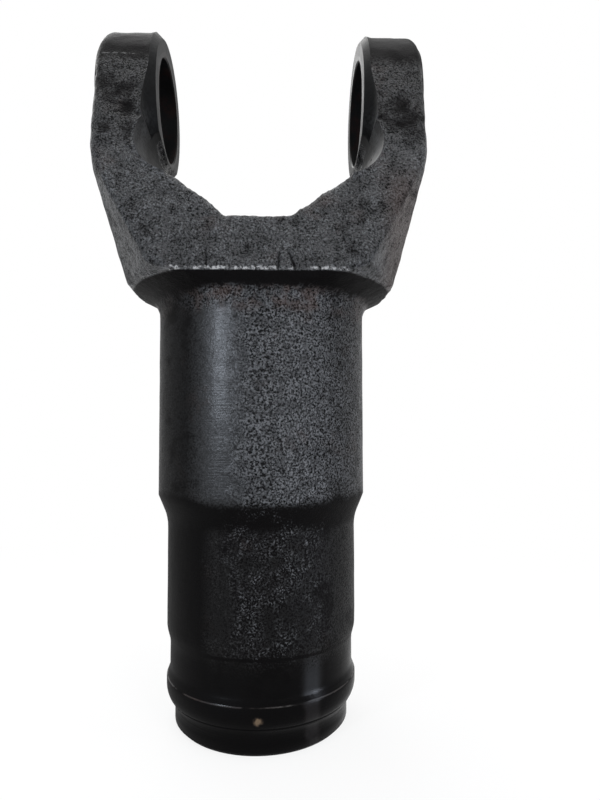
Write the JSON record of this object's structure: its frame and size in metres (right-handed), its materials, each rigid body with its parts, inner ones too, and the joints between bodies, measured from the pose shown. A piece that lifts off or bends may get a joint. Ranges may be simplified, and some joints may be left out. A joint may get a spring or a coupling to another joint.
{
  "type": "forged yoke",
  "caption": "One-piece forged sliding fork yoke: two ears with round bearing bores, a drop-forged head and a stepped sleeve with a splined bore and a beaded open end.",
  "frame": {"origin": "centre of the sleeve's open end, which the yoke stands on", "axes": "+Z along the sleeve towards the fork, +X along the bearing bores, +Y through the open sides of the fork"},
  "size_m": [0.1536, 0.109, 0.3378],
  "materials": {
    "forged_steel": "oiled black forging scale, smoother where turned or milled"
  },
  "bodies": {
    "root": {"yoke": "forged_steel"}
  },
  "joints": []
}
